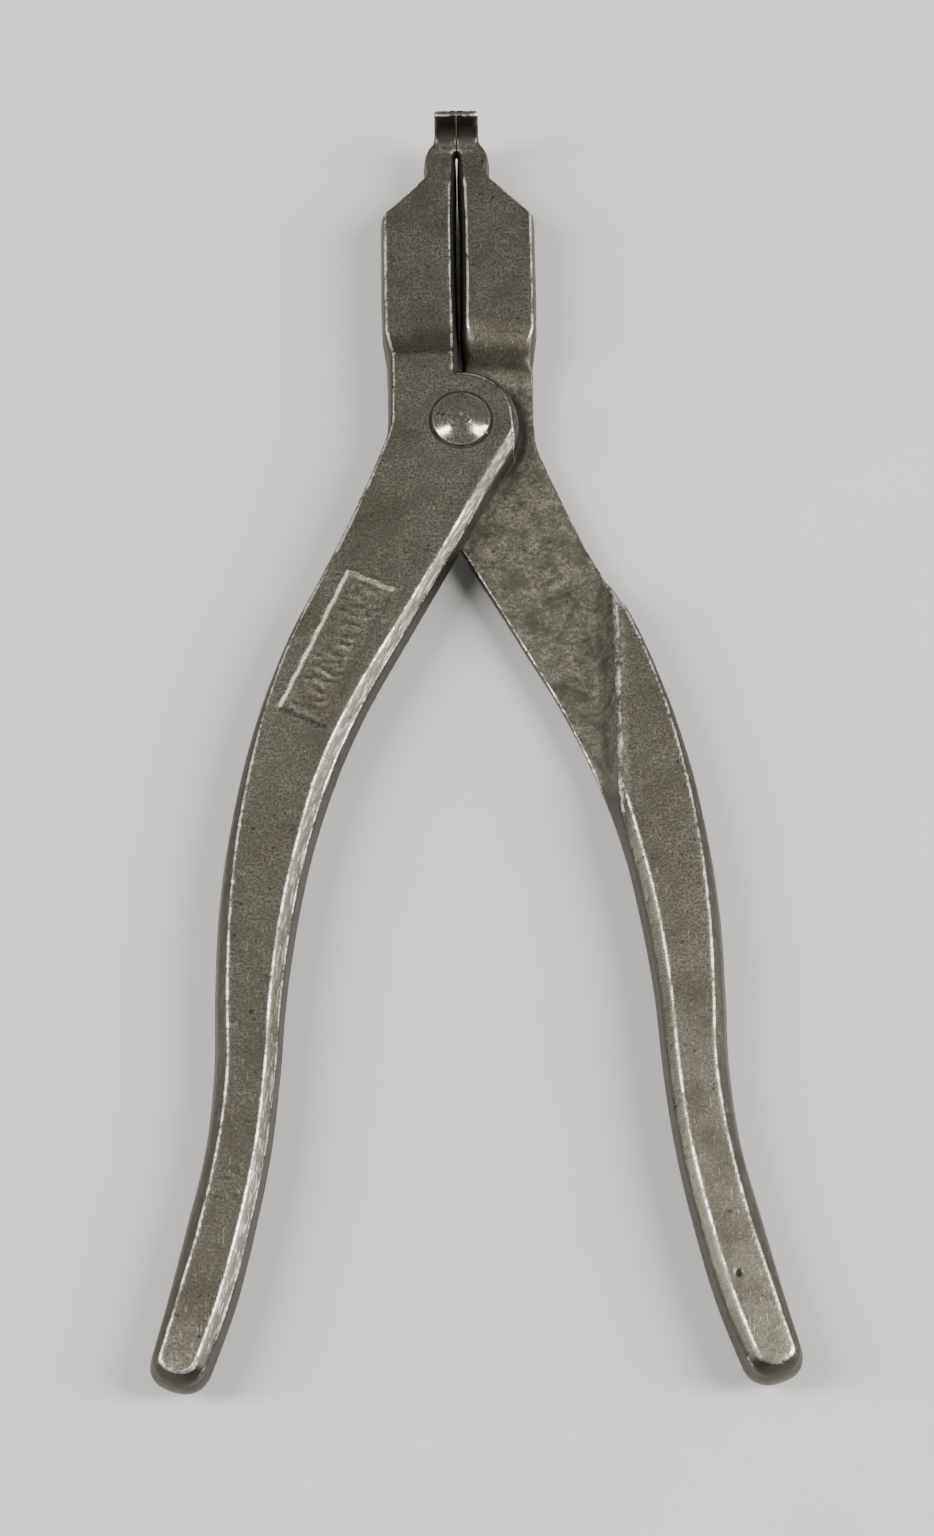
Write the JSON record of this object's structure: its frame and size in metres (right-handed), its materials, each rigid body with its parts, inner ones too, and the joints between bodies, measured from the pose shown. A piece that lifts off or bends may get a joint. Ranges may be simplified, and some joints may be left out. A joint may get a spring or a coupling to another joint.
{
  "type": "lock ring spreading pliers",
  "caption": "Forged pliers whose handles don't cross: squeezing them spreads two narrow, turned-up tips to open a lock ring.",
  "frame": {"origin": "where the rivet's axis meets the flat back that the pliers lie on", "axes": "+Z along the rivet, from the back to the domed head; +Y from the rivet to the jaw tips; +X to the rear lever's side"},
  "size_m": [0.081, 0.1766, 0.014],
  "materials": {
    "forged_steel": "bare forged steel, dark grey-brown with an oily patina and bright worn edges",
    "rivet_steel": "bare steel, worn smoother and brighter than the levers"
  },
  "bodies": {
    "rear": {"rear_lever": "forged_steel", "pivot_rivet": "rivet_steel"},
    "front": {"front_lever": "forged_steel"}
  },
  "joints": [
    {"name": "pivot", "type": "hinge", "parent": "rear", "child": "front", "pos_m": [0, 0, 0.0047], "axis": [0, 0, 1], "range_deg": [0, 26]}
  ]
}
